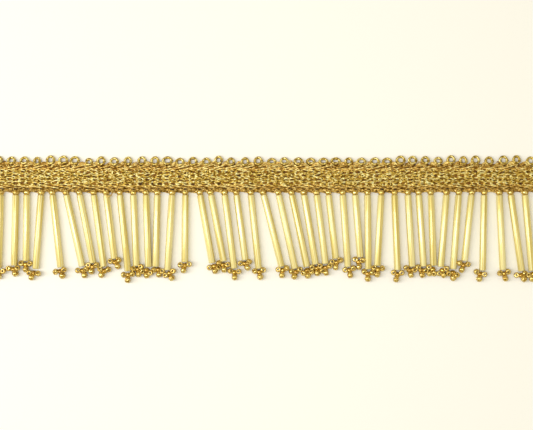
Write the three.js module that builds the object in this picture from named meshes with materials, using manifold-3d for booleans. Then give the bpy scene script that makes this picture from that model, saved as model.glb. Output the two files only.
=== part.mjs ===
import * as THREE from "three";
import { mergeVertices } from "three/addons/utils/BufferGeometryUtils.js";
import Module from "manifold-3d";

// A cut length of beaded fringe trim, lying flat with its face up. A braid of twisted metallic
// cord has an edge of small loops, and under each repeat hangs one strand of glass beads:
// a round root bead, a long bugle bead and a cross of four round beads at the tip.
// Millimetres. X runs along the braid, +Y is the looped edge, +Z is the face, z = 0 is the back.

const wasm = await Module();
wasm.setup();

// Driving dimensions of the braid
const REPEATS = 43;
const STRAND_PITCH = 5.25;
const BRAID_LENGTH = REPEATS * STRAND_PITCH;
const BRAID_FOOT = -4.15;
const STEPS_PER_REPEAT = 2;
const MIDDLE_REPEAT = (REPEATS - 1) / 2;

// Driving dimensions of the loop edge
const LOOP_PITCH = 5.2;
const LOOP_MIDDLE_X = -1.8;
const LOOP_MIDDLE_Y = 6.7;
const LOOP_CORD = 0.85;
const LOOP_THICKNESS = 0.7;
const LOOP_UNDERSIDE = 0.05;
const LOOP_SIDES = 8;

// Driving dimensions of the strands and the strip that holds them
const STRIP_GAP = 0.3;
const STRIP_WIDTH = 0.75;
const STRIP_THICKNESS = 1.2;
const STRAND_THICKNESS = 2.7;
const ROOT_BEAD_WIDTH = 1.8;
const BUGLE_WIDTH = 2.4;
const BUGLE_TOP_Y = -6.9;
const BEAD_RADIUS = 0.8;
const ARM_LENGTH = 1.7;
const NOTCH_RADIUS = 0.9;

// The braid's ridges and grooves from the bead edge to the loop edge. across is the place of the
// line, height its mean height, rise what a stitch adds to it, slant how far a stitch runs across
// the braid within one repeat, and phase where in the repeat the stitch stands, from 0 to 1.
const BRAID_LINES = [
  { across: BRAID_FOOT, height: 0.9, rise: 0.0, slant: 0.0, phase: 0.0 },
  { across: -3.6, height: 1.8, rise: 0.25, slant: -0.5, phase: 0.25 },
  { across: -2.9, height: 1.35, rise: 0.0, slant: -0.2, phase: 0.25 },
  { across: -2.2, height: 1.7, rise: 0.35, slant: 0.0, phase: 0.0 },
  { across: -0.9, height: 1.7, rise: 0.35, slant: 0.0, phase: 0.5 },
  { across: 0.6, height: 1.7, rise: 0.35, slant: 0.0, phase: 0.0 },
  { across: 2.1, height: 1.7, rise: 0.35, slant: 0.0, phase: 0.5 },
  { across: 3.1, height: 1.35, rise: 0.0, slant: 0.2, phase: 0.25 },
  { across: 4.0, height: 1.8, rise: 0.25, slant: 0.5, phase: 0.25 },
  { across: 5.7, height: 0.9, rise: 0.0, slant: 0.0, phase: 0.0 },
];

// Slow waver of the whole braid: how far it swings across and over what length
const WAVERS = [
  { swing: 0.12, length: 97, start: 0.3 },
  { swing: 0.07, length: 31, start: 0.8 },
];

// The loops from left to right. shift is along the trim from the even pitch, rise is across the
// trim from the mean line, wide and tall are the outside size.
const LOOPS = [
  { shift: 0.0, rise: 0.0, wide: 3.8, tall: 3.7 },
  { shift: 0.0, rise: 0.4, wide: 3.7, tall: 3.6 },
  { shift: -0.1, rise: 0.2, wide: 3.8, tall: 3.5 },
  { shift: -0.1, rise: 0.2, wide: 3.9, tall: 3.5 },
  { shift: -0.2, rise: -0.1, wide: 3.4, tall: 3.8 },
  { shift: 0.0, rise: 0.4, wide: 3.9, tall: 4.0 },
  { shift: -0.1, rise: 0.4, wide: 4.2, tall: 3.8 },
  { shift: -0.7, rise: 0.2, wide: 4.2, tall: 3.8 },
  { shift: -0.2, rise: -0.4, wide: 3.4, tall: 3.5 },
  { shift: -0.6, rise: 0.0, wide: 3.8, tall: 4.1 },
  { shift: -0.5, rise: -0.2, wide: 3.9, tall: 3.7 },
  { shift: -0.2, rise: 0.0, wide: 3.6, tall: 3.8 },
  { shift: 0.2, rise: 0.1, wide: 3.8, tall: 3.8 },
  { shift: 0.2, rise: 0.0, wide: 3.9, tall: 4.0 },
  { shift: 0.0, rise: 0.1, wide: 4.5, tall: 3.8 },
  { shift: -0.2, rise: -0.4, wide: 4.0, tall: 3.6 },
  { shift: -0.2, rise: -0.2, wide: 3.9, tall: 4.0 },
  { shift: 0.0, rise: -0.3, wide: 3.9, tall: 3.6 },
  { shift: -0.3, rise: 0.3, wide: 3.7, tall: 3.9 },
  { shift: -0.6, rise: -0.3, wide: 3.6, tall: 3.7 },
  { shift: -0.1, rise: -0.3, wide: 3.7, tall: 3.9 },
  { shift: 0.0, rise: 0.0, wide: 3.9, tall: 3.9 },
  { shift: 0.2, rise: -0.2, wide: 3.9, tall: 3.2 },
  { shift: 0.0, rise: -0.1, wide: 3.9, tall: 3.5 },
  { shift: 0.4, rise: -0.1, wide: 4.0, tall: 3.4 },
  { shift: 0.2, rise: -0.1, wide: 4.0, tall: 3.1 },
  { shift: 0.1, rise: -0.2, wide: 4.2, tall: 3.3 },
  { shift: -0.2, rise: 0.0, wide: 4.4, tall: 3.2 },
  { shift: -0.2, rise: -0.2, wide: 3.7, tall: 3.5 },
  { shift: -0.3, rise: -0.2, wide: 4.1, tall: 3.4 },
  { shift: -0.1, rise: -0.2, wide: 4.2, tall: 3.6 },
  { shift: -0.4, rise: -0.2, wide: 4.3, tall: 3.4 },
  { shift: -0.2, rise: 0.3, wide: 4.2, tall: 4.0 },
  { shift: -0.6, rise: 0.3, wide: 4.0, tall: 3.8 },
  { shift: -0.7, rise: 0.3, wide: 3.8, tall: 3.6 },
  { shift: -0.8, rise: 0.0, wide: 3.8, tall: 3.6 },
  { shift: -0.8, rise: 0.5, wide: 3.8, tall: 3.9 },
  { shift: -1.1, rise: 0.1, wide: 3.6, tall: 4.0 },
  { shift: -1.4, rise: 0.3, wide: 3.9, tall: 4.0 },
  { shift: -1.2, rise: 0.0, wide: 3.9, tall: 3.9 },
  { shift: -0.6, rise: 0.3, wide: 4.0, tall: 4.0 },
  { shift: -0.6, rise: 0.5, wide: 3.6, tall: 3.9 },
  { shift: -0.1, rise: 0.0, wide: 4.0, tall: 3.8 },
];

// The strands from left to right. shift is along the trim from the even pitch at the root. lean
// is the strand's angle in degrees, positive to the right. bugle is the long bead's length. The
// cross's middle bead lies drop beyond the bugle and aside to its right. left and right are the
// angles of the side beads above level, and turn that of the end bead from straight down,
// positive to the right, all in degrees as seen from above.
const STRANDS = [
  { shift: 0.2, lean: -2.0, bugle: 28.5, aside: 0.0, drop: 1.4, left: 10, right: 15, turn: 0 },
  { shift: 0.1, lean: -1.6, bugle: 29.2, aside: 0.2, drop: 1.4, left: 5, right: 5, turn: 0 },
  { shift: 0.9, lean: -1.3, bugle: 28.2, aside: -0.4, drop: 1.5, left: 10, right: 22, turn: 28 },
  { shift: 0.0, lean: -0.6, bugle: 26.4, aside: -0.1, drop: 1.4, left: 15, right: 10, turn: 4 },
  { shift: 0.5, lean: -4.2, bugle: 29.6, aside: -0.6, drop: 1.8, left: 8, right: -5, turn: -30 },
  { shift: -0.1, lean: 6.3, bugle: 29.1, aside: -0.4, drop: 1.6, left: -5, right: 30, turn: 28 },
  { shift: 0.2, lean: 12.4, bugle: 29.2, aside: -0.2, drop: 1.7, left: 0, right: 30, turn: 22 },
  { shift: 0.3, lean: 10.9, bugle: 27.7, aside: -0.4, drop: 1.4, left: 20, right: 30, turn: -15 },
  { shift: 0.7, lean: 7.7, bugle: 28.9, aside: 0.0, drop: 1.7, left: 30, right: 20, turn: -35 },
  { shift: 0.4, lean: 7.2, bugle: 25.7, aside: 0.1, drop: 1.2, left: 12, right: 30, turn: 30 },
  { shift: 0.6, lean: 6.0, bugle: 30.6, aside: -0.1, drop: 1.6, left: 5, right: 18, turn: -5 },
  { shift: 0.7, lean: 2.4, bugle: 28.4, aside: 0.45, drop: 1.2, left: 15, right: 30, turn: 10 },
  { shift: 0.5, lean: 1.9, bugle: 28.8, aside: -0.7, drop: 1.3, left: -10, right: -25, turn: 5 },
  { shift: -0.2, lean: -1.4, bugle: 28.7, aside: 1.0, drop: 1.2, left: 30, right: -20, turn: 12 },
  { shift: 0.4, lean: -3.4, bugle: 30.1, aside: 0.9, drop: 1.2, left: -28, right: 30, turn: 23 },
  { shift: 0.5, lean: -0.5, bugle: 26.8, aside: 0.0, drop: 1.2, left: 0, right: 8, turn: -13 },
  { shift: 1.2, lean: 10.0, bugle: 27.6, aside: 0.4, drop: 1.2, left: -25, right: -12, turn: 15 },
  { shift: 0.3, lean: 10.6, bugle: 27.0, aside: -0.15, drop: 1.2, left: 28, right: -5, turn: 5 },
  { shift: 0.5, lean: 7.3, bugle: 29.6, aside: 0.0, drop: 1.6, left: 22, right: 10, turn: 0 },
  { shift: 0.0, lean: 7.6, bugle: 26.2, aside: -0.3, drop: 1.2, left: -5, right: 30, turn: 28 },
  { shift: 0.5, lean: 6.0, bugle: 29.6, aside: 0.1, drop: 1.3, left: 10, right: 27, turn: 10 },
  { shift: 0.4, lean: 13.9, bugle: 29.5, aside: 0.1, drop: 1.5, left: 18, right: 30, turn: -8 },
  { shift: 1.2, lean: 12.3, bugle: 30.1, aside: 0.1, drop: 1.3, left: 5, right: 28, turn: -18 },
  { shift: 1.2, lean: 11.6, bugle: 29.3, aside: -0.1, drop: 1.7, left: -28, right: -8, turn: 5 },
  { shift: 0.8, lean: 9.3, bugle: 28.1, aside: 0.1, drop: 1.6, left: 30, right: 28, turn: 12 },
  { shift: 0.6, lean: 7.2, bugle: 27.7, aside: -0.1, drop: 1.7, left: -33, right: 30, turn: 0 },
  { shift: 0.1, lean: 6.3, bugle: 25.6, aside: 0.1, drop: 1.5, left: 0, right: 30, turn: -7 },
  { shift: 0.5, lean: 4.0, bugle: 28.8, aside: 0.6, drop: 1.4, left: 14, right: 30, turn: 8 },
  { shift: 0.2, lean: 4.6, bugle: 25.0, aside: -0.6, drop: 1.7, left: 30, right: 45, turn: 0 },
  { shift: -0.1, lean: 0.6, bugle: 29.7, aside: -0.2, drop: 1.8, left: 30, right: 15, turn: 0 },
  { shift: 0.1, lean: -3.0, bugle: 28.3, aside: 0.25, drop: 1.5, left: 35, right: 13, turn: -8 },
  { shift: 0.2, lean: 2.3, bugle: 30.0, aside: -0.1, drop: 1.8, left: 27, right: 22, turn: -15 },
  { shift: 0.3, lean: 3.4, bugle: 28.7, aside: -1.0, drop: 1.3, left: 30, right: 20, turn: 12 },
  { shift: -0.6, lean: 3.8, bugle: 28.6, aside: -1.0, drop: 1.4, left: 35, right: -5, turn: 10 },
  { shift: -1.0, lean: 2.0, bugle: 28.3, aside: -0.4, drop: 1.5, left: 40, right: -64, turn: -36 },
  { shift: -0.1, lean: -4.3, bugle: 28.8, aside: 0.7, drop: 1.4, left: -40, right: 25, turn: 15 },
  { shift: -0.4, lean: -4.2, bugle: 29.7, aside: 0.0, drop: 1.7, left: 0, right: -25, turn: 5 },
  { shift: -0.5, lean: -6.1, bugle: 26.5, aside: -0.2, drop: 1.7, left: 25, right: 10, turn: -20 },
  { shift: -0.7, lean: -1.2, bugle: 30.2, aside: -1.0, drop: 1.4, left: 30, right: -5, turn: -8 },
  { shift: 0.1, lean: 2.8, bugle: 30.0, aside: 0.4, drop: 1.5, left: 5, right: 27, turn: 16 },
  { shift: -0.5, lean: 8.0, bugle: 30.7, aside: -0.5, drop: 1.6, left: 0, right: 26, turn: 38 },
  { shift: -0.1, lean: 5.2, bugle: 30.4, aside: 0.3, drop: 1.3, left: -20, right: 10, turn: -8 },
  { shift: 0.0, lean: 5.0, bugle: 27.5, aside: 0.1, drop: 1.4, left: 10, right: 15, turn: 5 },
];

const GOLD_BRAID = new THREE.MeshStandardMaterial({
  name: "metallised braid",
  color: 0xb8913c,
  roughness: 0.42,
  metalness: 0.75,
});
const GOLD_GLASS = new THREE.MeshStandardMaterial({
  name: "satin gold glass",
  color: 0xe6d286,
  roughness: 0.28,
  metalness: 0.35,
});

function radians(degrees) {
  return THREE.MathUtils.degToRad(degrees);
}

// A closed three.js geometry as a solid that can be joined
function solidOf(geometry) {
  geometry.deleteAttribute("normal");
  geometry.deleteAttribute("uv");
  const merged = mergeVertices(geometry, 1e-4);
  const mesh = new wasm.Mesh({
    numProp: 3,
    vertProperties: new Float32Array(merged.attributes.position.array),
    triVerts: new Uint32Array(merged.index.array),
  });
  return new wasm.Manifold(mesh);
}

function geometryOf(solid) {
  const mesh = solid.getMesh();
  const geometry = new THREE.BufferGeometry();
  geometry.setAttribute("position", new THREE.BufferAttribute(mesh.vertProperties, 3));
  geometry.setIndex(new THREE.BufferAttribute(mesh.triVerts, 1));
  geometry.computeVertexNormals();
  return geometry;
}

function joined(solids) {
  return solids.reduce((sum, solid) => sum.add(solid));
}

function waver(x) {
  return WAVERS.reduce(
    (sum, wave) => sum + wave.swing * Math.sin(2 * Math.PI * (x / wave.length + wave.start)),
    0,
  );
}

// The place of the nearest end of one repeat, from -0.5 to 0.5, for a slanting stitch
function slantAt(x, phase) {
  const turns = x / STRAND_PITCH + phase;
  return turns - Math.round(turns);
}

// The ribbed ground of the braid: its section drawn across and run along the trim, with each
// ridge raised at its stitches, slanted at the two edge cords and flat underneath
function braidGround() {
  const first = BRAID_LINES[0];
  const last = BRAID_LINES[BRAID_LINES.length - 1];
  const section = new THREE.Shape();
  section.moveTo(first.across, 0);
  section.lineTo(last.across, 0);
  for (const line of [...BRAID_LINES].reverse()) {
    section.lineTo(line.across, line.height);
  }
  const geometry = new THREE.ExtrudeGeometry(section, {
    depth: BRAID_LENGTH,
    steps: REPEATS * STEPS_PER_REPEAT,
    bevelEnabled: false,
  });
  const points = geometry.attributes.position;
  for (let i = 0; i < points.count; i += 1) {
    const x = points.getZ(i) - BRAID_LENGTH / 2;
    const across = points.getX(i);
    const height = points.getY(i);
    const line = BRAID_LINES.find((row) => Math.abs(row.across - across) < 1e-4);
    const y = across + line.slant * slantAt(x, line.phase) + waver(x);
    const stitch = Math.cos(2 * Math.PI * (x / STRAND_PITCH + line.phase));
    const z = height > 0 ? height + line.rise * stitch : 0;
    points.setXYZ(i, x, y, z);
  }
  return geometry;
}

// One loop of the top edge, a flat ring of cord whose foot runs into the braid
function edgeLoop(loop, index) {
  const x = LOOP_MIDDLE_X + LOOP_PITCH * (index - MIDDLE_REPEAT) + loop.shift;
  const y = LOOP_MIDDLE_Y + loop.rise;
  const ring = new THREE.Shape();
  ring.absellipse(x, y, loop.wide / 2, loop.tall / 2, 0, 2 * Math.PI);
  const hole = new THREE.Path();
  hole.absellipse(x, y, loop.wide / 2 - LOOP_CORD, loop.tall / 2 - LOOP_CORD, 0, 2 * Math.PI);
  ring.holes.push(hole);
  const geometry = new THREE.ExtrudeGeometry(ring, {
    depth: LOOP_THICKNESS,
    curveSegments: LOOP_SIDES,
    bevelEnabled: false,
  });
  return geometry.translate(0, 0, LOOP_UNDERSIDE);
}

// How far from the cross's middle the far side of a side bead lies, at an angle off its arm
function farSide(offset) {
  const angle = radians(offset);
  const reach = ARM_LENGTH * Math.sin(angle);
  return ARM_LENGTH * Math.cos(angle) + Math.sqrt(BEAD_RADIUS ** 2 - reach ** 2);
}

// The outline of the cross of beads, from the bugle's right side round the tip to its left side.
// Each row is an angle off the arm of the bead that it belongs to.
const RIGHT_BEAD_ANGLES = [15, -8, -28];
const END_BEAD_ANGLES = [28, 10, -10, -28];
const LEFT_BEAD_ANGLES = [28, 8, -15];

// A side bead below this angle leaves a notch between itself and the bugle, this far off its arm
const LEVEL_ARM = 10;
const NOTCH_ANGLE = 50;

function crossOutline(middle, strand) {
  const at = (angle, radius) => {
    const turned = radians(angle);
    return middle.clone().add(new THREE.Vector2(Math.cos(turned), Math.sin(turned)).multiplyScalar(radius));
  };
  const lobe = (arm, offsets) => offsets.map((offset) => at(arm + offset, farSide(offset)));
  const right = strand.right;
  const end = strand.turn - 90;
  const left = -180 - strand.left;
  const underBugle = (angle) => at(angle, NOTCH_RADIUS);
  return [
    ...(strand.right < LEVEL_ARM ? [underBugle(right + NOTCH_ANGLE)] : []),
    ...lobe(right, RIGHT_BEAD_ANGLES),
    at((right + end) / 2, NOTCH_RADIUS),
    ...lobe(end, END_BEAD_ANGLES),
    at((end + left) / 2, NOTCH_RADIUS),
    ...lobe(left, LEFT_BEAD_ANGLES),
    ...(strand.left < LEVEL_ARM ? [underBugle(left - NOTCH_ANGLE)] : []),
  ];
}

// The outline of one strand seen from above, from its right side at the strip round to its left
function strandOutline(strand, index, stripFoot) {
  const x = STRAND_PITCH * (index - MIDDLE_REPEAT) + strand.shift;
  const lean = radians(strand.lean);
  const down = new THREE.Vector2(Math.sin(lean), -Math.cos(lean));
  const right = new THREE.Vector2(Math.cos(lean), Math.sin(lean));
  const place = (along, across) =>
    new THREE.Vector2(x, BUGLE_TOP_Y).addScaledVector(down, along).addScaledVector(right, across);
  const root = BUGLE_TOP_Y - stripFoot;
  const rootHalf = ROOT_BEAD_WIDTH / 2;
  const half = BUGLE_WIDTH / 2;
  const middle = place(strand.bugle + strand.drop, strand.aside);
  return [
    place(root, rootHalf),
    place(0, rootHalf),
    place(0, half),
    place(strand.bugle, half),
    ...crossOutline(middle, strand),
    place(strand.bugle, -half),
    place(0, -half),
    place(0, -rootHalf),
    place(root, -rootHalf),
  ];
}

// The fringe: the narrow strip along the braid's foot and all the strands that hang from it.
// The strip is thinner than the beads, so the face comes down to it above the root beads.
function beadFringe() {
  const waverSwing = WAVERS.reduce((sum, wave) => sum + wave.swing, 0);
  const stripTop = BRAID_FOOT - STRIP_GAP - waverSwing;
  const stripFoot = stripTop - STRIP_WIDTH;
  const outline = new THREE.Shape();
  outline.moveTo(-BRAID_LENGTH / 2, stripFoot);
  outline.lineTo(-BRAID_LENGTH / 2, stripTop);
  outline.lineTo(BRAID_LENGTH / 2, stripTop);
  outline.lineTo(BRAID_LENGTH / 2, stripFoot);
  for (let index = REPEATS - 1; index >= 0; index -= 1) {
    for (const point of strandOutline(STRANDS[index], index, stripFoot)) {
      outline.lineTo(point.x, point.y);
    }
  }
  const geometry = new THREE.ExtrudeGeometry(outline, {
    depth: STRAND_THICKNESS,
    bevelEnabled: false,
  });
  const points = geometry.attributes.position;
  const rootY = (stripFoot + BUGLE_TOP_Y) / 2;
  for (let i = 0; i < points.count; i += 1) {
    if (points.getZ(i) > 0 && points.getY(i) > rootY) {
      points.setZ(i, STRIP_THICKNESS);
    }
  }
  return geometry;
}

const braid = new THREE.Mesh(
  geometryOf(joined([braidGround(), ...LOOPS.map(edgeLoop)].map(solidOf))),
  GOLD_BRAID,
);
braid.name = "braid_heading";

const fringe = new THREE.Mesh(beadFringe(), GOLD_GLASS);
fringe.name = "bead_fringe";

const trim = new THREE.Group();
trim.name = "beaded_fringe_trim";
trim.add(braid, fringe);

export default trim;
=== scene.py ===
"""Looks of a cut length of beaded fringe trim that lies flat with its face up.

Places are in millimetres in the row frame until a mesh is made: X runs along the trim, +Y is the
looped edge, +Z is the face and z = 0 is the back.
"""

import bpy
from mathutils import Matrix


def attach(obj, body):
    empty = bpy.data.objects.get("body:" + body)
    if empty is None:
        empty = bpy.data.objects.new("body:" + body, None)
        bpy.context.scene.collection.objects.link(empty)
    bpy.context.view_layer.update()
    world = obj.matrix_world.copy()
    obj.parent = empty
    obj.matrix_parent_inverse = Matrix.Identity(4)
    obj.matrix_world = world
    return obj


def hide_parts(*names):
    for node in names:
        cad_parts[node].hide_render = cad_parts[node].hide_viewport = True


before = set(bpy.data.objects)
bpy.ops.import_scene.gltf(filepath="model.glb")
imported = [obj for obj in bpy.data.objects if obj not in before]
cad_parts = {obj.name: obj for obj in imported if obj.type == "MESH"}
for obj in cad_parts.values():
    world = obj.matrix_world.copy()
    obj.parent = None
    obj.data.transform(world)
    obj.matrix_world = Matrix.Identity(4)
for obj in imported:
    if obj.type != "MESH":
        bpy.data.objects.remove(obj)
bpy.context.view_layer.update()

import logging
import math
import random
from collections.abc import Callable, Sequence
from dataclasses import dataclass, field
from enum import Enum

import bmesh
import bpy
from mathutils import Matrix, Vector

MM = 0.001
TURN = 2 * math.pi
UP = Vector((0, 0, 1))
# Each bead's own place is kept under this name, so that no two beads have the same painted glints
OWN_PLACE = "local"
Outline = Sequence[tuple[float, float]]
log = logging.getLogger("trim")


class Slot(Enum):
    """The record's material slots."""

    BRAID = "metallised_braid"
    GLASS = "gold_glass"


@dataclass(frozen=True)
class Loop:
    """One loop of the top edge: shift along the trim, rise across it and outside size."""

    shift: float
    rise: float
    wide: float
    tall: float


@dataclass(frozen=True)
class Strand:
    """One strand as it lies.

    shift is along the trim from the even pitch, lean the angle in degrees and positive to the
    right, bugle the long bead's length. The cross's middle lies drop beyond it and aside to its
    right. left and right are the side beads' angles above level and turn the end bead's.
    """

    shift: float
    lean: float
    bugle: float
    aside: float
    drop: float
    left: float
    right: float
    turn: float


# The loops from left to right: shift, rise, wide, tall
LOOPS = [
    Loop(*row)
    for row in (
        (0.0, 0.0, 3.8, 3.7),
        (0.0, 0.4, 3.7, 3.6),
        (-0.1, 0.2, 3.8, 3.5),
        (-0.1, 0.2, 3.9, 3.5),
        (-0.2, -0.1, 3.4, 3.8),
        (0.0, 0.4, 3.9, 4.0),
        (-0.1, 0.4, 4.2, 3.8),
        (-0.7, 0.2, 4.2, 3.8),
        (-0.2, -0.4, 3.4, 3.5),
        (-0.6, 0.0, 3.8, 4.1),
        (-0.5, -0.2, 3.9, 3.7),
        (-0.2, 0.0, 3.6, 3.8),
        (0.2, 0.1, 3.8, 3.8),
        (0.2, 0.0, 3.9, 4.0),
        (0.0, 0.1, 4.5, 3.8),
        (-0.2, -0.4, 4.0, 3.6),
        (-0.2, -0.2, 3.9, 4.0),
        (0.0, -0.3, 3.9, 3.6),
        (-0.3, 0.3, 3.7, 3.9),
        (-0.6, -0.3, 3.6, 3.7),
        (-0.1, -0.3, 3.7, 3.9),
        (0.0, 0.0, 3.9, 3.9),
        (0.2, -0.2, 3.9, 3.2),
        (0.0, -0.1, 3.9, 3.5),
        (0.4, -0.1, 4.0, 3.4),
        (0.2, -0.1, 4.0, 3.1),
        (0.1, -0.2, 4.2, 3.3),
        (-0.2, 0.0, 4.4, 3.2),
        (-0.2, -0.2, 3.7, 3.5),
        (-0.3, -0.2, 4.1, 3.4),
        (-0.1, -0.2, 4.2, 3.6),
        (-0.4, -0.2, 4.3, 3.4),
        (-0.2, 0.3, 4.2, 4.0),
        (-0.6, 0.3, 4.0, 3.8),
        (-0.7, 0.3, 3.8, 3.6),
        (-0.8, 0.0, 3.8, 3.6),
        (-0.8, 0.5, 3.8, 3.9),
        (-1.1, 0.1, 3.6, 4.0),
        (-1.4, 0.3, 3.9, 4.0),
        (-1.2, 0.0, 3.9, 3.9),
        (-0.6, 0.3, 4.0, 4.0),
        (-0.6, 0.5, 3.6, 3.9),
        (-0.1, 0.0, 4.0, 3.8),
    )
]

# The strands from left to right: shift, lean, bugle, aside, drop, left, right, turn
STRANDS = [
    Strand(*row)
    for row in (
        (0.2, -2.0, 28.5, 0.0, 1.4, 10, 15, 0),
        (0.1, -1.6, 29.2, 0.2, 1.4, 5, 5, 0),
        (0.9, -1.3, 28.2, -0.4, 1.5, 10, 22, 28),
        (0.0, -0.6, 26.4, -0.1, 1.4, 15, 10, 4),
        (0.5, -4.2, 29.6, -0.6, 1.8, 8, -5, -30),
        (-0.1, 6.3, 29.1, -0.4, 1.6, -5, 30, 28),
        (0.2, 12.4, 29.2, -0.2, 1.7, 0, 30, 22),
        (0.3, 10.9, 27.7, -0.4, 1.4, 20, 30, -15),
        (0.7, 7.7, 28.9, 0.0, 1.7, 30, 20, -35),
        (0.4, 7.2, 25.7, 0.1, 1.2, 12, 30, 30),
        (0.6, 6.0, 30.6, -0.1, 1.6, 5, 18, -5),
        (0.7, 2.4, 28.4, 0.45, 1.2, 15, 30, 10),
        (0.5, 1.9, 28.8, -0.7, 1.3, -10, -25, 5),
        (-0.2, -1.4, 28.7, 1.0, 1.2, 30, -20, 12),
        (0.4, -3.4, 30.1, 0.9, 1.2, -28, 30, 23),
        (0.5, -0.5, 26.8, 0.0, 1.2, 0, 8, -13),
        (1.2, 10.0, 27.6, 0.4, 1.2, -25, -12, 15),
        (0.3, 10.6, 27.0, -0.15, 1.2, 28, -5, 5),
        (0.5, 7.3, 29.6, 0.0, 1.6, 22, 10, 0),
        (0.0, 7.6, 26.2, -0.3, 1.2, -5, 30, 28),
        (0.5, 6.0, 29.6, 0.1, 1.3, 10, 27, 10),
        (0.4, 13.9, 29.5, 0.1, 1.5, 18, 30, -8),
        (1.2, 12.3, 30.1, 0.1, 1.3, 5, 28, -18),
        (1.2, 11.6, 29.3, -0.1, 1.7, -28, -8, 5),
        (0.8, 9.3, 28.1, 0.1, 1.6, 30, 28, 12),
        (0.6, 7.2, 27.7, -0.1, 1.7, -33, 30, 0),
        (0.1, 6.3, 25.6, 0.1, 1.5, 0, 30, -7),
        (0.5, 4.0, 28.8, 0.6, 1.4, 14, 30, 8),
        (0.2, 4.6, 25.0, -0.6, 1.7, 30, 45, 0),
        (-0.1, 0.6, 29.7, -0.2, 1.8, 30, 15, 0),
        (0.1, -3.0, 28.3, 0.25, 1.5, 35, 13, -8),
        (0.2, 2.3, 30.0, -0.1, 1.8, 27, 22, -15),
        (0.3, 3.4, 28.7, -1.0, 1.3, 30, 20, 12),
        (-0.6, 3.8, 28.6, -1.0, 1.4, 35, -5, 10),
        (-1.0, 2.0, 28.3, -0.4, 1.5, 40, -64, -36),
        (-0.1, -4.3, 28.8, 0.7, 1.4, -40, 25, 15),
        (-0.4, -4.2, 29.7, 0.0, 1.7, 0, -25, 5),
        (-0.5, -6.1, 26.5, -0.2, 1.7, 25, 10, -20),
        (-0.7, -1.2, 30.2, -1.0, 1.4, 30, -5, -8),
        (0.1, 2.8, 30.0, 0.4, 1.5, 5, 27, 16),
        (-0.5, 8.0, 30.7, -0.5, 1.6, 0, 26, 38),
        (-0.1, 5.2, 30.4, 0.3, 1.3, -20, 10, -8),
        (0.0, 5.0, 27.5, 0.1, 1.4, 10, 15, 5),
    )
]


@dataclass(frozen=True)
class Layout:
    """The even spacing of the trim, and the slow waver of the whole braid."""

    repeats: int = 43
    pitch: float = 5.25
    loop_pitch: float = 5.2
    loop_x: float = -1.8
    loop_y: float = 6.7
    bugle_top: float = -6.9

    @property
    def length(self) -> float:
        """The whole length of the braid."""
        return self.repeats * self.pitch

    @property
    def middle(self) -> int:
        """The number of the middle repeat, counted from 0."""
        return self.repeats // 2

    def within(self, x: float, margin: float) -> float:
        """A place along the trim, kept a margin short of the cut ends."""
        limit = self.length / 2 - margin
        return max(-limit, min(limit, x))

    def waver(self, x: float) -> float:
        """How far the braid swings across at a place along it, positive towards the loops."""
        slow = 0.12 * math.sin(TURN * (x / 97 + 0.3))
        return slow + 0.07 * math.sin(TURN * (x / 31 + 0.8))

    def on_braid(self, x: float, y: float, z: float) -> Vector:
        """A place along, across and above the straight braid, moved by the waver."""
        return Vector((x, y + self.waver(x), z))

    def along(self, step: float) -> list[float]:
        """Places from one end of the braid to the other, both with them, about a step apart."""
        count = round(self.length / step)
        return [self.length * (i / count - 0.5) for i in range(count + 1)]


LAYOUT = Layout()


def colour(code: str) -> tuple[float, float, float, float]:
    """A linear colour from an sRGB hex code.

    Args:
        code: six hex digits.

    Returns:
        Red, green, blue and a full alpha.
    """
    parts = [int(code[i : i + 2], 16) / 255 for i in (0, 2, 4)]
    linear = [p / 12.92 if p <= 0.04045 else ((p + 0.055) / 1.055) ** 2.4 for p in parts]
    return (*linear, 1.0)


def link(name: str, data: bpy.types.ID) -> bpy.types.Object:
    """A new object in the scene at the origin.

    Args:
        name: the object's name.
        data: its mesh, curve, light or camera.

    Returns:
        The object.
    """
    made = bpy.data.objects.new(name, data)
    bpy.context.scene.collection.objects.link(made)
    return made


def node(tree: bpy.types.NodeTree, kind: str, **settings: object) -> bpy.types.Node:
    """A new shader node with its settings.

    Args:
        tree: the material's nodes.
        kind: the node type without the ShaderNode prefix.
        settings: attributes, or inputs written with _ for a space; a socket value is linked.

    Returns:
        The node.
    """
    made = tree.nodes.new("ShaderNode" + kind)
    for name, value in settings.items():
        if hasattr(made, name) and not isinstance(value, bpy.types.NodeSocket):
            setattr(made, name, value)
            continue
        socket = made.inputs[name.replace("_", " ")]
        if isinstance(value, bpy.types.NodeSocket):
            tree.links.new(value, socket)
        else:
            socket.default_value = value
    return made


def ramp(
    tree: bpy.types.NodeTree, fac: bpy.types.NodeSocket, stops: list[tuple[float, str]]
) -> bpy.types.NodeSocket:
    """A colour ramp over a factor.

    Args:
        tree: the material's nodes.
        fac: what drives the ramp.
        stops: places from 0 to 1 with their sRGB hex codes.

    Returns:
        The colour output.
    """
    made = node(tree, "ValToRGB", Fac=fac)
    elements = made.color_ramp.elements
    while len(elements) < len(stops):
        elements.new(0.5)
    for element, (place, code) in zip(elements, stops):
        element.position = place
        element.color = colour(code)
    return made.outputs["Color"]


def fresh(name: str) -> tuple[bpy.types.Material, bpy.types.NodeTree, bpy.types.Node]:
    """A new material with an empty main shader.

    Args:
        name: what the material is.

    Returns:
        The material, its nodes and its Principled shader.
    """
    made = bpy.data.materials.new(name)
    made.use_nodes = True
    tree = made.node_tree
    return made, tree, tree.nodes["Principled BSDF"]


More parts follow.
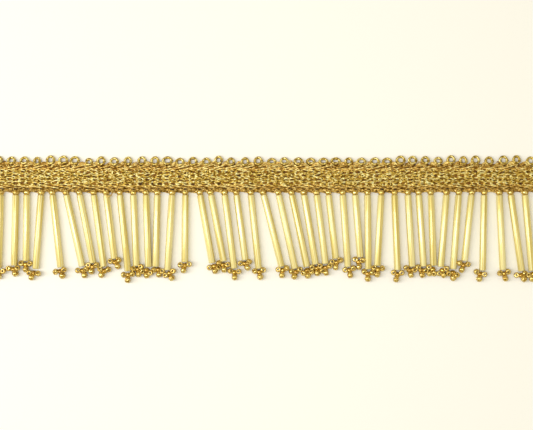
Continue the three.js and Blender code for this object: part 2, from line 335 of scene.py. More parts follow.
@dataclass(frozen=True)
class ThreadFinish:
    """Plied metallised thread: thin gold film wound on a core, that glints. Its colour goes in
    random patches from a dark tone, painted shade, to a light tone, painted glints.

    patch and fibre are the sizes of its tone patches and of its fibres in millimetres.
    """

    name: str
    dark: str
    mid: str
    light: str
    patch: float = 1.6
    metallic: float = 0.75
    roughness: float = 0.33
    fibre: float = 0.18
    relief: float = 0.05

    def make(self) -> bpy.types.Material:
        """The material.

        Returns:
            The material of this finish.
        """
        made, tree, shader = fresh(self.name)
        place = node(tree, "TexCoord").outputs["Object"]
        patches = node(tree, "TexNoise", Vector=place, Scale=1 / (self.patch * MM), Detail=3.0)
        fibres = node(tree, "TexNoise", Vector=place, Scale=1 / (self.fibre * MM), Detail=2.0)
        # Random patches: the dark stop is painted shade and the light stop painted glints
        stops = [(0.33, self.dark), (0.48, self.mid), (0.62, self.light)]
        tint = ramp(tree, patches.outputs["Fac"], stops)
        tree.links.new(tint, shader.inputs["Base Color"])
        height = fibres.outputs["Fac"]
        lift = node(tree, "Bump", Height=height, Distance=self.relief * MM, Strength=0.6)
        tree.links.new(lift.outputs["Normal"], shader.inputs["Normal"])
        shader.inputs["Metallic"].default_value = self.metallic
        shader.inputs["Roughness"].default_value = self.roughness
        return made


@dataclass(frozen=True)
class GlassFinish:
    """Metal-lined glass of a bead: a toned lining under a clear glossy skin, with painted shade
    that darkens it towards the rim.

    The lining goes from its darker line tone through its body to its glint, a painted highlight, in
    patches of the streak's size in millimetres, the last of them along the hole.
    """

    name: str
    rim: str
    line: str
    body: str
    painted_glint: str
    streak: tuple[float, float, float]
    metallic: float
    roughness: float
    rim_start: float = 0.45

    def make(self) -> bpy.types.Material:
        """The material.

        Returns:
            The material of this finish.
        """
        made, tree, shader = fresh(self.name)
        own = node(tree, "Attribute", attribute_name=OWN_PLACE).outputs["Vector"]
        drawn = node(tree, "Mapping", Vector=own)
        drawn.inputs["Scale"].default_value = [1 / (size * MM) for size in self.streak]
        streaks = node(tree, "TexNoise", Vector=drawn.outputs["Vector"], Scale=1.0, Detail=2.0)
        # The glint tone is a painted highlight
        tones = [(0.38, self.line), (0.46, self.body), (0.68, self.painted_glint)]
        lining = ramp(tree, streaks.outputs["Fac"], tones)
        # Painted shade: the colour turns to the rim tone where the surface faces away from the view
        edge = node(tree, "LayerWeight", Blend=0.35).outputs["Facing"]
        rim = node(tree, "ValToRGB", Fac=edge)
        rim.color_ramp.elements[0].position = self.rim_start
        rim.color_ramp.elements[1].position = 1.0
        mixed = node(tree, "Mix", data_type="RGBA")
        tree.links.new(rim.outputs["Color"], mixed.inputs[0])
        tree.links.new(lining, mixed.inputs[6])
        mixed.inputs[7].default_value = colour(self.rim)
        tree.links.new(mixed.outputs[2], shader.inputs["Base Color"])
        shader.inputs["Metallic"].default_value = self.metallic
        shader.inputs["Roughness"].default_value = self.roughness
        shader.inputs["Coat Weight"].default_value = 0.8
        shader.inputs["Coat Roughness"].default_value = 0.06
        return made


@dataclass(frozen=True)
class Ripple:
    """Small waves of a thread that runs along: aside and up, each with its wave's length."""

    sway: float
    sway_length: float
    lift: float
    lift_length: float


@dataclass
class CordBatch:
    """One kind of plied cord, laid along many paths and kept as one mesh.

    turn is the length of one twist and waist the thickness between the two plies, as a share.
    """

    name: str
    width: float
    turn: float
    sides: int = 8
    waist: float = 0.62
    paths: list[tuple[list[Vector], bool]] = field(default_factory=list)

    def lay(self, places: list[Vector], closed: bool = False) -> None:
        """Adds one length by its middle line in millimetres, closed where its ends meet."""
        self.paths.append((places, closed))

    def run(
        self, layout: Layout, step: float, row: tuple[float, float], phase: float, ripple: Ripple
    ) -> None:
        """Adds one rippled length along the whole braid.

        Args:
            layout: the braid's length and waver.
            step: the distance between two of its places.
            row: where it runs, across and up.
            phase: where its ripple starts, from 0 to 1.
            ripple: its small waves.
        """
        places = []
        for x in layout.along(step):
            sway = ripple.sway * math.sin(TURN * (x / ripple.sway_length + phase))
            lift = ripple.lift * math.cos(TURN * (x / ripple.lift_length + phase))
            places.append(layout.on_braid(x, row[0] + sway, row[1] + lift))
        self.lay(places)

    def section(self) -> bpy.types.Object:
        """The cord's two-lobed cross section.

        Returns:
            A flat closed curve, for use as the bevel.
        """
        flat = bpy.data.curves.new(self.name + "_section", "CURVE")
        flat.dimensions = "2D"
        spline = flat.splines.new("POLY")
        spline.points.add(self.sides - 1)
        spline.use_cyclic_u = True
        for i, point in enumerate(spline.points):
            angle = TURN * i / self.sides
            lobe = self.waist + (1 - self.waist) * abs(math.cos(angle)) ** 0.8
            radius = self.width / 2 * MM * lobe
            point.co = (radius * math.cos(angle), radius * math.sin(angle), 0, 1)
        return link(flat.name, flat)

    def build(self, finish: bpy.types.Material) -> bpy.types.Object:
        """All the lengths as one mesh.

        Args:
            finish: the thread's material.

        Returns:
            The piece, riding on the trim.
        """
        section = self.section()
        line = bpy.data.curves.new(self.name + "_line", "CURVE")
        line.dimensions = "3D"
        line.twist_mode = "Z_UP"
        line.bevel_mode = "OBJECT"
        line.bevel_object = section
        line.use_fill_caps = True
        for places, closed in self.paths:
            self.spline(line, places, closed)
        drawn = link(line.name, line)
        graph = bpy.context.evaluated_depsgraph_get()
        mesh = bpy.data.meshes.new_from_object(drawn.evaluated_get(graph))
        bpy.data.objects.remove(drawn)
        bpy.data.objects.remove(section)
        mesh.materials.clear()
        mesh.materials.append(finish)
        mesh.shade_smooth()
        piece = link(self.name, mesh)
        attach(piece, "root")
        log.info("%s: %d lengths, %d faces", self.name, len(self.paths), len(mesh.polygons))
        return piece

    def spline(self, line: bpy.types.Curve, places: list[Vector], closed: bool) -> None:
        """One length in the curve, its section turned as the plies are twisted.

        Args:
            line: the curve that holds all the lengths.
            places: the middle line in millimetres.
            closed: True where the end meets the start.
        """
        if closed:
            places = places + places[:1]
        spline = line.splines.new("POLY")
        spline.points.add(len(places) - 1)
        steps = [(b - a).length for a, b in zip(places, places[1:])]
        whole = sum(steps)
        turns = whole / self.turn
        if closed:
            turns = max(1, round(2 * turns)) / 2
        gone = 0.0
        for i, (point, place) in enumerate(zip(spline.points, places)):
            point.co = (*(place * MM), 1)
            point.tilt = TURN * turns * gone / whole
            gone += steps[i] if i < len(steps) else 0


def long_strip(
    name: str,
    layout: Layout,
    step: float,
    section: Callable[[float], Outline],
    finish: bpy.types.Material,
) -> bpy.types.Object:
    """A thin closed strip of cloth that runs the whole length of the braid.

    Args:
        name: the piece's name.
        layout: the length and waver that it follows.
        step: the distance between two of its cross sections.
        section: gives the closed outline at a place along it, as places across and up.
        finish: its material.

    Returns:
        The piece, riding on the trim.
    """
    shape = bmesh.new()
    rims = []
    for x in layout.along(step):
        ring = [shape.verts.new(layout.on_braid(x, y, z) * MM) for y, z in section(x)]
        rims.append([shape.edges.new(pair) for pair in zip(ring, ring[1:] + ring[:1])])
    for rim, following in zip(rims, rims[1:]):
        bmesh.ops.bridge_loops(shape, edges=rim + following)
    for rim in (rims[0], rims[-1]):
        bmesh.ops.contextual_create(shape, geom=rim)
    bmesh.ops.recalc_face_normals(shape, faces=shape.faces)
    mesh = bpy.data.meshes.new(name)
    shape.to_mesh(mesh)
    shape.free()
    mesh.materials.append(finish)
    piece = link(name, mesh)
    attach(piece, "root")
    log.info("%s: %d faces", name, len(mesh.polygons))
    return piece


@dataclass
class BraidHeading:
    """The braid: ground, four chain rows, slanting edge cords, loops and the filling threads.

    Each cord's size is its width across the plies. rows are the chain rows' places across the trim
    and inner_rows those of the low threads, across and up. ground_outline is the cloth's cross
    section. edge_runs are one repeat's edge cords: where each comes up, how far away it dives, and
    how high it arches between the two.
    """

    layout: Layout
    chance: random.Random
    chain_cord: float = 0.62
    inner_cord: float = 0.55
    curl_cord: float = 0.5
    edge_cord: float = 0.8
    loop_cord: float = 1.22
    filling_cord: float = 0.42
    stitch: float = 2.625
    stitch_tuck: float = 0.85
    stitch_half_width: float = 0.66
    stitch_foot: float = 1.38
    stitch_rise: float = 0.5
    stitch_skew: float = 0.75
    stitch_slack: float = 0.2
    curl_count: int = 170
    filling_count: int = 9
    rows: tuple[float, ...] = (2.25, 0.75, -0.8, -2.25)
    inner_rows: Outline = ((1.5, 1.4), (0.0, 1.45), (-1.5, 1.4), (3.0, 1.4), (-2.95, 1.35))
    ground_outline: Outline = (
        (-4.35, 0.6),
        (-3.6, 1.2),
        (-1.5, 1.2),
        (0.0, 1.2),
        (1.5, 1.2),
        (3.6, 1.2),
        (4.6, 1.1),
        (5.5, 0.5),
        (5.5, 0.02),
        (-4.35, 0.02),
    )
    edge_runs: tuple[tuple[tuple[float, ...], tuple[float, ...], float], ...] = (
        ((0.0, 3.25, 1.3), (7.4, 1.95, 0.15), 0.65),
        ((1.8, 3.2, 1.2), (5.2, 0.75, 0.1), 0.5),
        ((0.6, -2.95, 1.2), (6.6, -1.1, -0.05), 0.6),
    )

    def ground_section(self, x: float) -> Outline:
        """The ground's closed outline, across and up, which is the same at every place along it."""
        return self.ground_outline

    def ground(self, finish: bpy.types.Material) -> bpy.types.Object:
        """The thin cloth under the stitches, dark as painted shade in the gaps between them.

        Args:
            finish: its material.

        Returns:
            The ground, a closed thin sheet.
        """
        step = self.stitch / 2
        piece = long_strip("braid_ground", self.layout, step, self.ground_section, finish)
        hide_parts("braid_heading")
        return piece

    def chain(self) -> CordBatch:
        """The rows of chain stitches, each loop coming up inside the one before it.

        Returns:
            The stitches.
        """
        batch = CordBatch("chain_rows", width=self.chain_cord, turn=1.9, sides=6)
        first = 0.4 - self.layout.length / 2
        count = int(self.layout.length / self.stitch)
        for number, row in enumerate(self.rows):
            way = 1 if number % 2 else -1
            offset = (number % 2) * self.stitch / 2
            for i in range(count):
                start = first + offset + i * self.stitch
                if way < 0:
                    start += self.stitch
                batch.lay(self.one_stitch(start, row, way))
        return batch

    def one_stitch(self, start: float, row: float, way: int) -> list[Vector]:
        """One chain stitch, a pointed loop with a round head.

        Args:
            start: where its point is along the trim.
            row: where its row is across the trim.
            way: 1 where its head lies to the right of its point, -1 where it lies to the left.

        Returns:
            Its middle line.
        """
        slack = self.stitch_slack
        long = self.stitch + self.stitch_tuck + self.chance.uniform(-slack, slack)
        wide = self.stitch_half_width + self.chance.uniform(-slack, slack)
        skew = self.chance.uniform(-self.stitch_skew, self.stitch_skew)
        high = self.stitch_rise + self.chance.uniform(-slack, slack)
        side = row + self.chance.uniform(-slack, slack)
        places = []
        for i in range(21):
            turn = TURN * (0.03 + 0.94 * i / 20)
            forward = (1 - math.cos(turn)) / 2
            x = self.layout.within(start + way * long * forward, 0.35)
            y = side + wide * 1.25 * math.sin(turn) * math.sin(turn / 2) ** 0.8 + skew * forward
            z = self.stitch_foot + high * math.sin(math.pi * forward**0.6)
            places.append(self.layout.on_braid(x, y, z))
        return places

    def lengthwise(self) -> CordBatch:
        """Threads that run along between the rows, low in the braid.

        Returns:
            The threads.
        """
        batch = CordBatch("inner_threads", width=self.inner_cord, turn=1.7, sides=6)
        ripple = Ripple(0.28, self.stitch, 0.16, self.stitch / 2)
        for row in self.inner_rows:
            batch.run(self.layout, 0.42, row, self.chance.random(), ripple)
        return batch

    def slanted(self, start: Vector, end: Vector, arch: float, count: int = 18) -> list[Vector]:
        """A length of cord that comes up, crosses the edge on a slant and dives again.

        Args:
            start: where it comes up.
            end: where it dives.
            arch: how high it rises between the two.
            count: how many places.

        Returns:
            Its middle line, kept within the braid's length.
        """
        bow = self.chance.uniform(-0.12, 0.12)
        places = []
        for i in range(count):
            part = i / (count - 1)
            place = start.lerp(end, part)
            x = self.layout.within(place.x, 0.45)
            y = place.y + bow * math.sin(math.pi * part)
            z = place.z + arch * math.sin(math.pi * part) ** 0.7
            places.append(self.layout.on_braid(x, y, z))
        return places

    def curls(self) -> CordBatch:
        """Loose curls of thread that stand up here and there among the chain rows.

        Returns:
            The curls.
        """
        batch = CordBatch("loose_curls", width=self.curl_cord, turn=1.6, sides=6)
        limit = self.layout.length / 2 - 1.5
        for _ in range(self.curl_count):
            middle_x = self.chance.uniform(-limit, limit)
            middle_y = self.chance.uniform(-2.6, 2.8)
            radius = self.chance.uniform(0.45, 0.85)
            start = self.chance.uniform(0, TURN)
            sweep = self.chance.uniform(0.45, 0.8) * TURN * self.chance.choice((-1, 1))
            flat = self.chance.uniform(0.5, 0.85)
            places = []
            for i in range(12):
                angle = start + sweep * i / 11
                x = middle_x + radius * math.cos(angle)
                y = middle_y + radius * flat * math.sin(angle)
                z = 1.45 + 0.55 * math.sin(math.pi * i / 11)
                places.append(self.layout.on_braid(x, y, z))
            batch.lay(places)
        return batch

    def edge_cords(self) -> CordBatch:
        """The long cords along both edges, rising to the right above and falling below.

        Returns:
            The cords.
        """
        batch = CordBatch("edge_cords", width=self.edge_cord, turn=3.2, sides=8)
        for i in range(-1, self.layout.repeats):
            x = (i - self.layout.middle) * self.layout.pitch + self.chance.uniform(-0.3, 0.3)
            rise = self.chance.uniform(-0.15, 0.15)
            for (along, across, up), run, arch in self.edge_runs:
                start = Vector((x + along, across + rise, up))
                batch.lay(self.slanted(start, start + Vector(run), arch))
        return batch

    def loops(self) -> CordBatch:
        """The loops of twisted cord along the top edge, their feet up on the braid.

        Returns:
            The loops.
        """
        batch = CordBatch("edge_loops", width=self.loop_cord, turn=4.2, sides=8)
        for index, loop in enumerate(LOOPS):
            number = index - self.layout.middle
            x = self.layout.loop_x + self.layout.loop_pitch * number + loop.shift
            y = self.layout.loop_y + loop.rise
            across = (loop.wide - self.loop_cord) / 2
            tall = (loop.tall - self.loop_cord) / 2
            places = []
            for i in range(30):
                angle = TURN * i / 30
                foot = (1 - math.sin(angle)) / 2
                z = 0.56 + 0.85 * foot**1.2
                places.append(Vector((x + across * math.cos(angle), y + tall * math.sin(angle), z)))
            batch.lay(places, closed=True)
        return batch

    def filling(self) -> CordBatch:
        """The soft threads that fill the feet between the loops.

        Returns:
            The threads.
        """
        batch = CordBatch("loop_filling", width=self.filling_cord, turn=1.4, sides=6)
        for index in range(-1, self.layout.repeats):
            number = index + 0.5 - self.layout.middle
            x = self.layout.loop_x + self.layout.loop_pitch * number
            for _ in range(self.filling_count):
                wide = self.chance.uniform(1.5, 3.2)
                foot = self.chance.uniform(4.1, 4.9)
                top = self.chance.uniform(0.8, 1.8)
                shift = self.chance.uniform(-0.5, 0.5)
                wave = self.chance.uniform(0, TURN)
                places = []
                for i in range(15):
                    part = i / 14
                    y = foot + top * math.sin(math.pi * part) + 0.12 * math.sin(9 * part + wave)
                    z = 0.95 + 0.2 * math.sin(4 * part + wave) + 0.25 * (5.6 - y)
                    along = self.layout.within(x + shift + wide * (part - 0.5) * 1.4, 0.4)
                    places.append(self.layout.on_braid(along, y, z))
                batch.lay(places)
        return batch

    def build(
        self,
        lemon: bpy.types.Material,
        pale: bpy.types.Material,
        warm: bpy.types.Material,
        deep: bpy.types.Material,
    ) -> None:
        """Makes the whole braid.

        Args:
            lemon: the bright thread of the chain rows.
            pale: the duller thread of the loops.
            warm: the warmer thread of the edges.
            deep: the ground, made dark as painted shade in the gaps.
        """
        ground = self.ground(deep)
        pieces = [
            self.chain().build(lemon),
            self.lengthwise().build(warm),
            self.edge_cords().build(warm),
            self.loops().build(pale),
            self.curls().build(lemon),
            self.filling().build(warm),
        ]


@dataclass
class BeadBatch:
    """Beads of one glass, turned from a profile and kept as one mesh."""

    name: str
    sides: int
    chance: random.Random
    shape: bmesh.types.BMesh = field(default_factory=bmesh.new)
    count: int = 0

    def put(self, profile: Outline, place: Matrix) -> None:
        """Adds one bead.

        Args:
            profile: closed outline as distances off the hole's axis and along it, in millimetres.
            place: where the bead goes, with its hole along the matrix's Z, in millimetres.
        """
        if not self.shape.verts.layers.float_vector.get(OWN_PLACE):
            self.shape.verts.layers.float_vector.new(OWN_PLACE)
        bead = bmesh.new()
        line = [bead.verts.new((r, 0, h)) for r, h in profile]
        edges = [bead.edges.new(pair) for pair in zip(line, line[1:] + line[:1])]
        bmesh.ops.spin(
            bead,
            geom=line + edges,
            axis=(0, 0, 1),
            cent=(0, 0, 0),
            steps=self.sides,
            angle=TURN,
            use_merge=True,
        )
        bmesh.ops.recalc_face_normals(bead, faces=bead.faces)
        own = bead.verts.layers.float_vector.new(OWN_PLACE)
        shift = Vector([self.chance.uniform(-30, 30) for _ in range(3)])
        for vert in bead.verts:
            vert[own] = (vert.co + shift) * MM
        bmesh.ops.transform(bead, matrix=Matrix.Scale(MM, 4) @ place, verts=bead.verts)
        single = bpy.data.meshes.new("bead")
        bead.to_mesh(single)
        bead.free()
        self.shape.from_mesh(single)
        bpy.data.meshes.remove(single)
        self.count += 1

    def build(self, finish: bpy.types.Material) -> bpy.types.Object:
        """All the beads as one mesh.

        Args:
            finish: the glass's material.

        Returns:
            The piece, riding on the trim.
        """
        mesh = bpy.data.meshes.new(self.name)
        self.shape.to_mesh(mesh)
        self.shape.free()
        mesh.materials.append(finish)
        mesh.shade_smooth()
        piece = link(self.name, mesh)
        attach(piece, "root")
        log.info("%s: %d beads, %d faces", self.name, self.count, len(mesh.polygons))
        return piece


def turned(axis: Vector, place: Vector) -> Matrix:
    """A matrix that puts a bead's middle at a place, with its hole along an axis."""
    return Matrix.Translation(place) @ axis.to_track_quat("Z", "Y").to_matrix().to_4x4()


def level(angle: float) -> Vector:
    """A flat way at an angle in degrees, from the right and positive towards the loops."""
    turn = math.radians(angle)
    return Vector((math.cos(turn), math.sin(turn), 0))


@dataclass
class CrossBead:
    """One round bead of a cross. low is the height of its middle where it lies on the floor."""

    batch: BeadBatch
    profile: Outline
    axis: Vector
    place: Vector
    low: float


@dataclass
class BeadFringe:
    """The strands: root bead, bugle bead and a cross of four round beads, with their threads.

    large_bead is the size of the root and end beads against the others. arm is how far the side
    beads lie from a cross's middle and end_reach how much farther the end bead does. closest is
    how near the middles of two beads come, against a bead's width, so that crowded beads sink a
    little into each other. high is the greatest height of a bead's middle. strip_rows are the
    threads of the strip, across and up.
    """

    layout: Layout
    chance: random.Random
    bugle_width: float = 2.7
    bugle_hole: float = 1.1
    bead_width: float = 2.35
    bead_length: float = 1.95
    bead_hole: float = 0.75
    large_bead: float = 1.12
    root_reach: float = 0.98
    arm: float = 1.45
    end_reach: float = 0.4
    closest: float = 0.8
    high: float = 1.8
    settling_rounds: int = 40
    root_turns: int = 4
    strip_rows: Outline = ((-3.9, 1.3), (-4.35, 1.15), (-4.8, 0.95), (-5.25, 0.8), (-5.7, 0.55))

    def __post_init__(self) -> None:
        """Starts the batches that the strands go into."""
        self.bugles = BeadBatch("bugle_beads", 24, self.chance)
        self.rounds = BeadBatch("round_beads", 14, self.chance)
        self.middles = BeadBatch("middle_beads", 14, self.chance)
        self.threads = CordBatch("root_threads", width=0.52, turn=1.6, sides=6)
        self.crosses: list[CrossBead] = []
        self.tubes: list[tuple[Vector, Vector]] = []

    def bugle(self, length: float) -> Outline:
        """The bugle bead's outline, from its top at 0 along the strand.

        Args:
            length: the bead's length.

        Returns:
            Distances off its axis and along it.
        """
        outer = self.bugle_width / 2
        hole = self.bugle_hole / 2
        end = [(hole, 0.05), (outer - 0.22, 0.0), (outer - 0.06, 0.07), (outer, 0.25)]
        return end + [(r, length - h) for r, h in reversed(end)]

    def round_bead(self, size: float = 1.0) -> Outline:
        """A round bead's outline about its middle.

        Args:
            size: how large it is against a common one.

        Returns:
            Distances off its axis and along it.
        """
        outer = self.bead_width / 2
        hole = self.bead_hole / 2
        half = self.bead_length / 2
        lower = [
            (hole, -half * 0.75),
            (hole + 0.2, -half),
            (outer * 0.86, -half * 0.78),
            (outer, -half * 0.3),
        ]
        whole = lower + [(r, -h) for r, h in reversed(lower)]
        return [(size * r, size * h) for r, h in whole]

    def wobble(self, axis: Vector, amount: float) -> Vector:
        """An axis turned a little by chance, by up to an amount of its length each way."""
        shake = Vector([self.chance.uniform(-amount, amount) for _ in range(3)])
        return (axis + shake).normalized()

    def build(
        self,
        bugle_glass: bpy.types.Material,
        bead_glass: bpy.types.Material,
        middle_glass: bpy.types.Material,
        thread: bpy.types.Material,
        deep: bpy.types.Material,
    ) -> None:
        """Makes all the strands.

        Args:
            bugle_glass: the long beads' glass.
            bead_glass: the root, side and end beads' glass.
            middle_glass: the glass of the beads in the middle of the crosses.
            thread: the thread of the roots, made darker as painted shade there.
            deep: the strip behind the roots, made dark as painted shade there.
        """
        for index, strand in enumerate(STRANDS):
            self.lay_strand(index, strand)
        self.settle()
        for bead in self.crosses:
            bead.batch.put(bead.profile, turned(bead.axis, bead.place))
        self.strip()
        self.loose_end()
        # The strip takes the ground's dark colour, painted shade behind the roots
        long_strip("root_strip", self.layout, self.layout.pitch / 6, self.backing, deep)
        replaced = self.bugles.build(bugle_glass)
        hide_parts("bead_fringe")
        self.rounds.build(bead_glass)
        self.middles.build(middle_glass)
        self.threads.build(thread)

    def lay_strand(self, index: int, strand: Strand) -> None:
        """Lays one strand, with its cross not settled yet.

        Args:
            index: its number from the left, counted from 0.
            strand: how it lies.
        """
        lean = math.radians(strand.lean)
        down = Vector((math.sin(lean), -math.cos(lean), 0))
        right = level(strand.lean)
        x = self.layout.pitch * (index - self.layout.middle) + strand.shift
        top = Vector((x, self.layout.bugle_top, self.bugle_width / 2))
        self.bugles.put(self.bugle(strand.bugle), turned(down, top))
        self.tubes.append((top, top + down * (strand.bugle - 0.8)))
        root = top - down * self.root_reach + UP * 0.12
        self.rounds.put(self.round_bead(self.large_bead), turned(self.wobble(down, 0.2), root))
        middle = top + down * (strand.bugle + strand.drop) + right * strand.aside
        self.lay_cross(strand, down, middle)
        self.hang(root, down, right)

    def lay_cross(self, strand: Strand, down: Vector, middle: Vector) -> None:
        """Lays the four beads of one cross: middle, right, left and end.

        Args:
            strand: how the strand lies.
            down: the way along the strand.
            middle: the cross's middle.
        """
        small = self.round_bead()
        low = self.bead_width / 2 + 0.02
        axis = self.wobble(down, 0.25)
        self.crosses.append(CrossBead(self.middles, small, axis, middle, low))
        flat = Vector((middle.x, middle.y, self.bead_width / 2))
        for angle in (strand.right, 180 - strand.left):
            side = flat + level(angle) * self.arm + UP * self.chance.uniform(0.4, 0.65)
            axis = self.wobble(UP, 0.6)
            self.crosses.append(CrossBead(self.rounds, small, axis, side, low))
        away = level(strand.turn - 90)
        axis = self.wobble(Vector((-away.y, away.x, 0)), 0.35)
        end = flat + away * (self.arm + self.end_reach)
        large = self.round_bead(self.large_bead)
        low = self.bead_width / 2 * self.large_bead + 0.02
        self.crosses.append(CrossBead(self.rounds, large, axis, end, low))

    def settle(self) -> None:
        """Pushes the crosses' beads apart and off the bugles, each drawn back to its own place."""
        homes = [bead.place.copy() for bead in self.crosses]
        near = self.bead_width * self.closest
        clear = self.bead_width / 2 * 0.82 + self.bugle_width / 2
        next_beads = 12
        next_tubes = 2
        for _ in range(self.settling_rounds):
            for i, bead in enumerate(self.crosses):
                number = i // 4
                for other in self.crosses[i + 1 : i + 1 + next_beads]:
                    gap = bead.place - other.place
                    if 0 < gap.length < near:
                        push = gap.normalized() * (near - gap.length) / 2
                        bead.place += push
                        other.place -= push
                first = max(0, number - next_tubes)
                for start, end in self.tubes[first : number + next_tubes + 1]:
                    line = end - start
                    part = max(0.0, min(1.0, (bead.place - start).dot(line) / line.length_squared))
                    gap = bead.place - (start + line * part)
                    if 0 < gap.length < clear:
                        bead.place += gap.normalized() * (clear - gap.length) * 0.7
                bead.place += (homes[i] - bead.place) * 0.04
            for bead in self.crosses:
                bead.place.z = max(bead.low, min(self.high, bead.place.z))

    def hang(self, bead: Vector, down: Vector, right: Vector) -> None:
        """Lays the threads that hang one strand from the braid, round its root bead.

        Args:
            bead: the root bead's middle.
            down: the way along the strand.
            right: the way across it.
        """
        foot = Vector((bead.x, bead.y, 0))
        for _ in range(self.root_turns):
            spread = self.chance.uniform(1.1, 1.75)
            deep = self.chance.uniform(0.5, 1.25)
            places = []
            for i in range(15):
                turn = math.pi * i / 14
                across = -math.cos(turn) * spread * (0.75 + 0.25 * math.sin(turn))
                along = -1.5 + (1.5 + deep) * math.sin(turn) ** 0.8
                height = 1.2 + 0.75 * math.sin(turn) ** 2 + self.chance.uniform(-0.05, 0.05)
                places.append(foot + down * along + right * across + UP * height)
            self.threads.lay(places)
        for way in (-1, 1):
            spread = self.chance.uniform(1.5, 2.3)
            places = []
            for i in range(9):
                part = i / 8
                across = way * (0.55 + (spread - 0.55) * part**1.4)
                along = 0.5 - 1.9 * part
                height = 1.5 - 0.5 * part
                places.append(foot + down * along + right * across + UP * height)
            self.threads.lay(places)

    def strip(self) -> None:
        """Lays the stitched strip along the braid's foot that holds all the roots."""
        ripple = Ripple(0.22, self.layout.pitch, 0.12, 1.7)
        for row in self.strip_rows:
            self.threads.run(self.layout, 0.5, row, self.chance.random(), ripple)

    def loose_end(self) -> None:
        """Lays the loop of thread that has worked loose at one root."""
        places = []
        for i in range(18):
            part = i / 17
            along = -63.0 + 3.1 * part + 0.12 * math.sin(17 * part)
            across = -5.3 - 2.3 * math.sin(math.pi * part) ** 0.9 + 0.15 * math.sin(14 * part)
            places.append(Vector((along, across, 2.05 + 0.95 * math.sin(math.pi * part))))
        self.threads.lay(places)

    def backing(self, x: float) -> Outline:
        """The closed outline of the scalloped strip behind the roots, across and up."""
        foot = -5.65 - 0.3 * math.cos(TURN * x / self.layout.pitch)
        return ((-4.45, 0.55), (foot, 0.35), (foot, 0.02), (-4.45, 0.02))


@dataclass(frozen=True)
class Studio:
    """The floor, the camera straight above and soft light from the upper left.

    aim, view_width and face, the height that the view is measured at, are in millimetres.
    """

    aim: tuple[float, float] = (1.48, -14.9)
    view_width: float = 213.2
    face: float = 1.5
    lens: float = 85.0
    sensor: float = 36.0
    floor: str = "FEFDF6"
    floor_reach: float = 3.0
    floor_drop: float = 0.00005
    room: str = "FFF4D4"
    room_light: float = 0.44

    def build(self) -> None:
        """Makes the floor, the lights and the camera."""
        scene = bpy.context.scene
        scene.view_settings.view_transform = "Standard"
        self.lay_floor()
        self.light("key", (-0.38, -0.02, 0.62), (0.28, 1.2), power=5.3, tint="FCFDFF")
        self.light("fill", (0.5, -0.1, 0.6), (0.4, 0.9), power=0.6, tint="FFFFFF")
        world = bpy.data.worlds.new("soft_room")
        world.use_nodes = True
        back = world.node_tree.nodes["Background"]
        back.inputs["Color"].default_value = colour(self.room)
        back.inputs["Strength"].default_value = self.room_light
        scene.world = world
        camera = bpy.data.cameras.new("camera")
        camera.lens = self.lens
        camera.sensor_width = self.sensor
        camera.clip_start = 0.01
        held = link("camera", camera)
        height = self.view_width * self.lens / self.sensor
        held.location = Vector((*self.aim, height + self.face)) * MM
        scene.camera = held

    def lay_floor(self) -> None:
        """The pale floor under the trim."""
        shape = bmesh.new()
        bmesh.ops.create_grid(shape, x_segments=1, y_segments=1, size=self.floor_reach)
        mesh = bpy.data.meshes.new("floor")
        shape.to_mesh(mesh)
        shape.free()
        # Matt pale paper
        paper, _, shader = fresh("pale_floor")
        shader.inputs["Base Color"].default_value = colour(self.floor)
        shader.inputs["Roughness"].default_value = 0.9
        mesh.materials.append(paper)
        floor = link("floor", mesh)
        mesh.transform(Matrix.Translation((0, 0, -self.floor_drop)))

    def light(
        self,
        name: str,
        place: tuple[float, float, float],
        size: tuple[float, float],
        power: float,
        tint: str,
    ) -> None:
        """One soft light that faces the trim.

        Args:
            name: the light's name.
            place: where it is, in metres.
            size: its two sides, in metres.
            power: its power in watts.
            tint: its sRGB hex colour.
        """
        lamp = bpy.data.lights.new(name, "AREA")
        lamp.shape = "RECTANGLE"
        lamp.size, lamp.size_y = size
        lamp.energy = power
        lamp.color = colour(tint)[:3]
        held = link(name, lamp)
        held.location = place
        held.rotation_euler = (-Vector(place)).to_track_quat("-Z", "Y").to_euler()


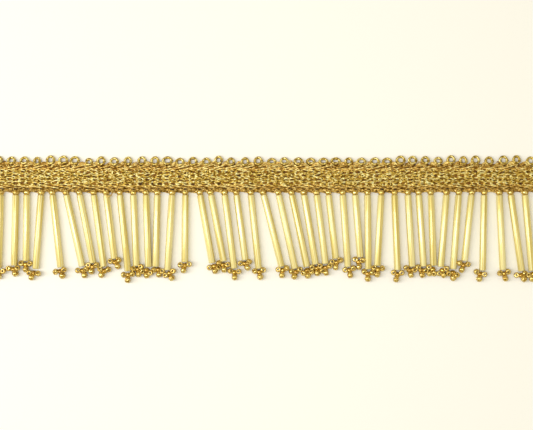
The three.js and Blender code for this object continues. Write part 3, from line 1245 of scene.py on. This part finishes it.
def main() -> None:
    """Builds the trim and its studio."""
    logging.basicConfig(level=logging.INFO, format="%(message)s")
    # Bright lemon gold metallised thread; its light flecks are painted glints and its dark patches
    # painted shade
    lemon = ThreadFinish("lemon_gold_thread", "84600A", "E7C556", "FFF7B6", patch=1.1).make()
    # Paler gold metallised thread of the loops, with olive shade
    pale = ThreadFinish("pale_gold_thread", "7A6012", "CCAA48", "F6E696", patch=0.9).make()
    # Warmer, older looking gold metallised thread
    warm = ThreadFinish("warm_gold_thread", "8E6210", "EAC162", "FEEB9C", patch=1.3).make()
    # The gold metallised thread made browner and darker, as painted shade around the roots and
    # along the strip
    painted_shade_thread = ThreadFinish("painted_shade_gold_thread", "6E5012", "D0A64A", "F2D684", patch=1.2).make()
    # Gold ground cloth in the gaps, coarser and duller, made dark as painted shade in the gaps
    deep = ThreadFinish(
        "dark_ground_with_painted_shade",
        "4A2C00",
        "7E5204",
        "AC7C14",
        metallic=0.4,
        roughness=0.6,
        fibre=0.45,
        relief=0.2,
    ).make()
    # Satin silver-lined gold glass of the bugle beads, with soft lines that run along them, painted
    # highlights among them and painted shade at the rim
    satin = GlassFinish(
        "satin_gold_glass",
        rim="A08A30",
        line="D2BA5C",
        body="EEDA84",
        painted_glint="FFF9C2",
        streak=(0.45, 0.45, 45.0),
        metallic=0.3,
        roughness=0.36,
    ).make()
    # Clear straw glass with a gold lining, of the cross's side and end beads and the root beads,
    # with painted glints and painted shade at the rim
    straw = GlassFinish(
        "straw_bead_glass",
        rim="5A4000",
        line="A27C18",
        body="D6AA30",
        painted_glint="FFF2A0",
        streak=(0.5, 0.5, 0.5),
        metallic=0.62,
        roughness=0.16,
        rim_start=0.25,
    ).make()
    # The beads in the middle of each cross, a darker amber than the others, with painted glints and
    # painted shade at the rim
    amber = GlassFinish(
        "amber_bead_glass",
        rim="4A3000",
        line="8A6208",
        body="B8860E",
        painted_glint="F0CC50",
        streak=(0.5, 0.5, 0.5),
        metallic=0.6,
        roughness=0.16,
        rim_start=0.3,
    ).make()
    chance = random.Random(43)
    BraidHeading(LAYOUT, chance).build(lemon, pale, warm, deep)
    BeadFringe(LAYOUT, chance).build(satin, straw, amber, painted_shade_thread, deep)
    Studio().build()


if __name__ == "__main__":
    main()
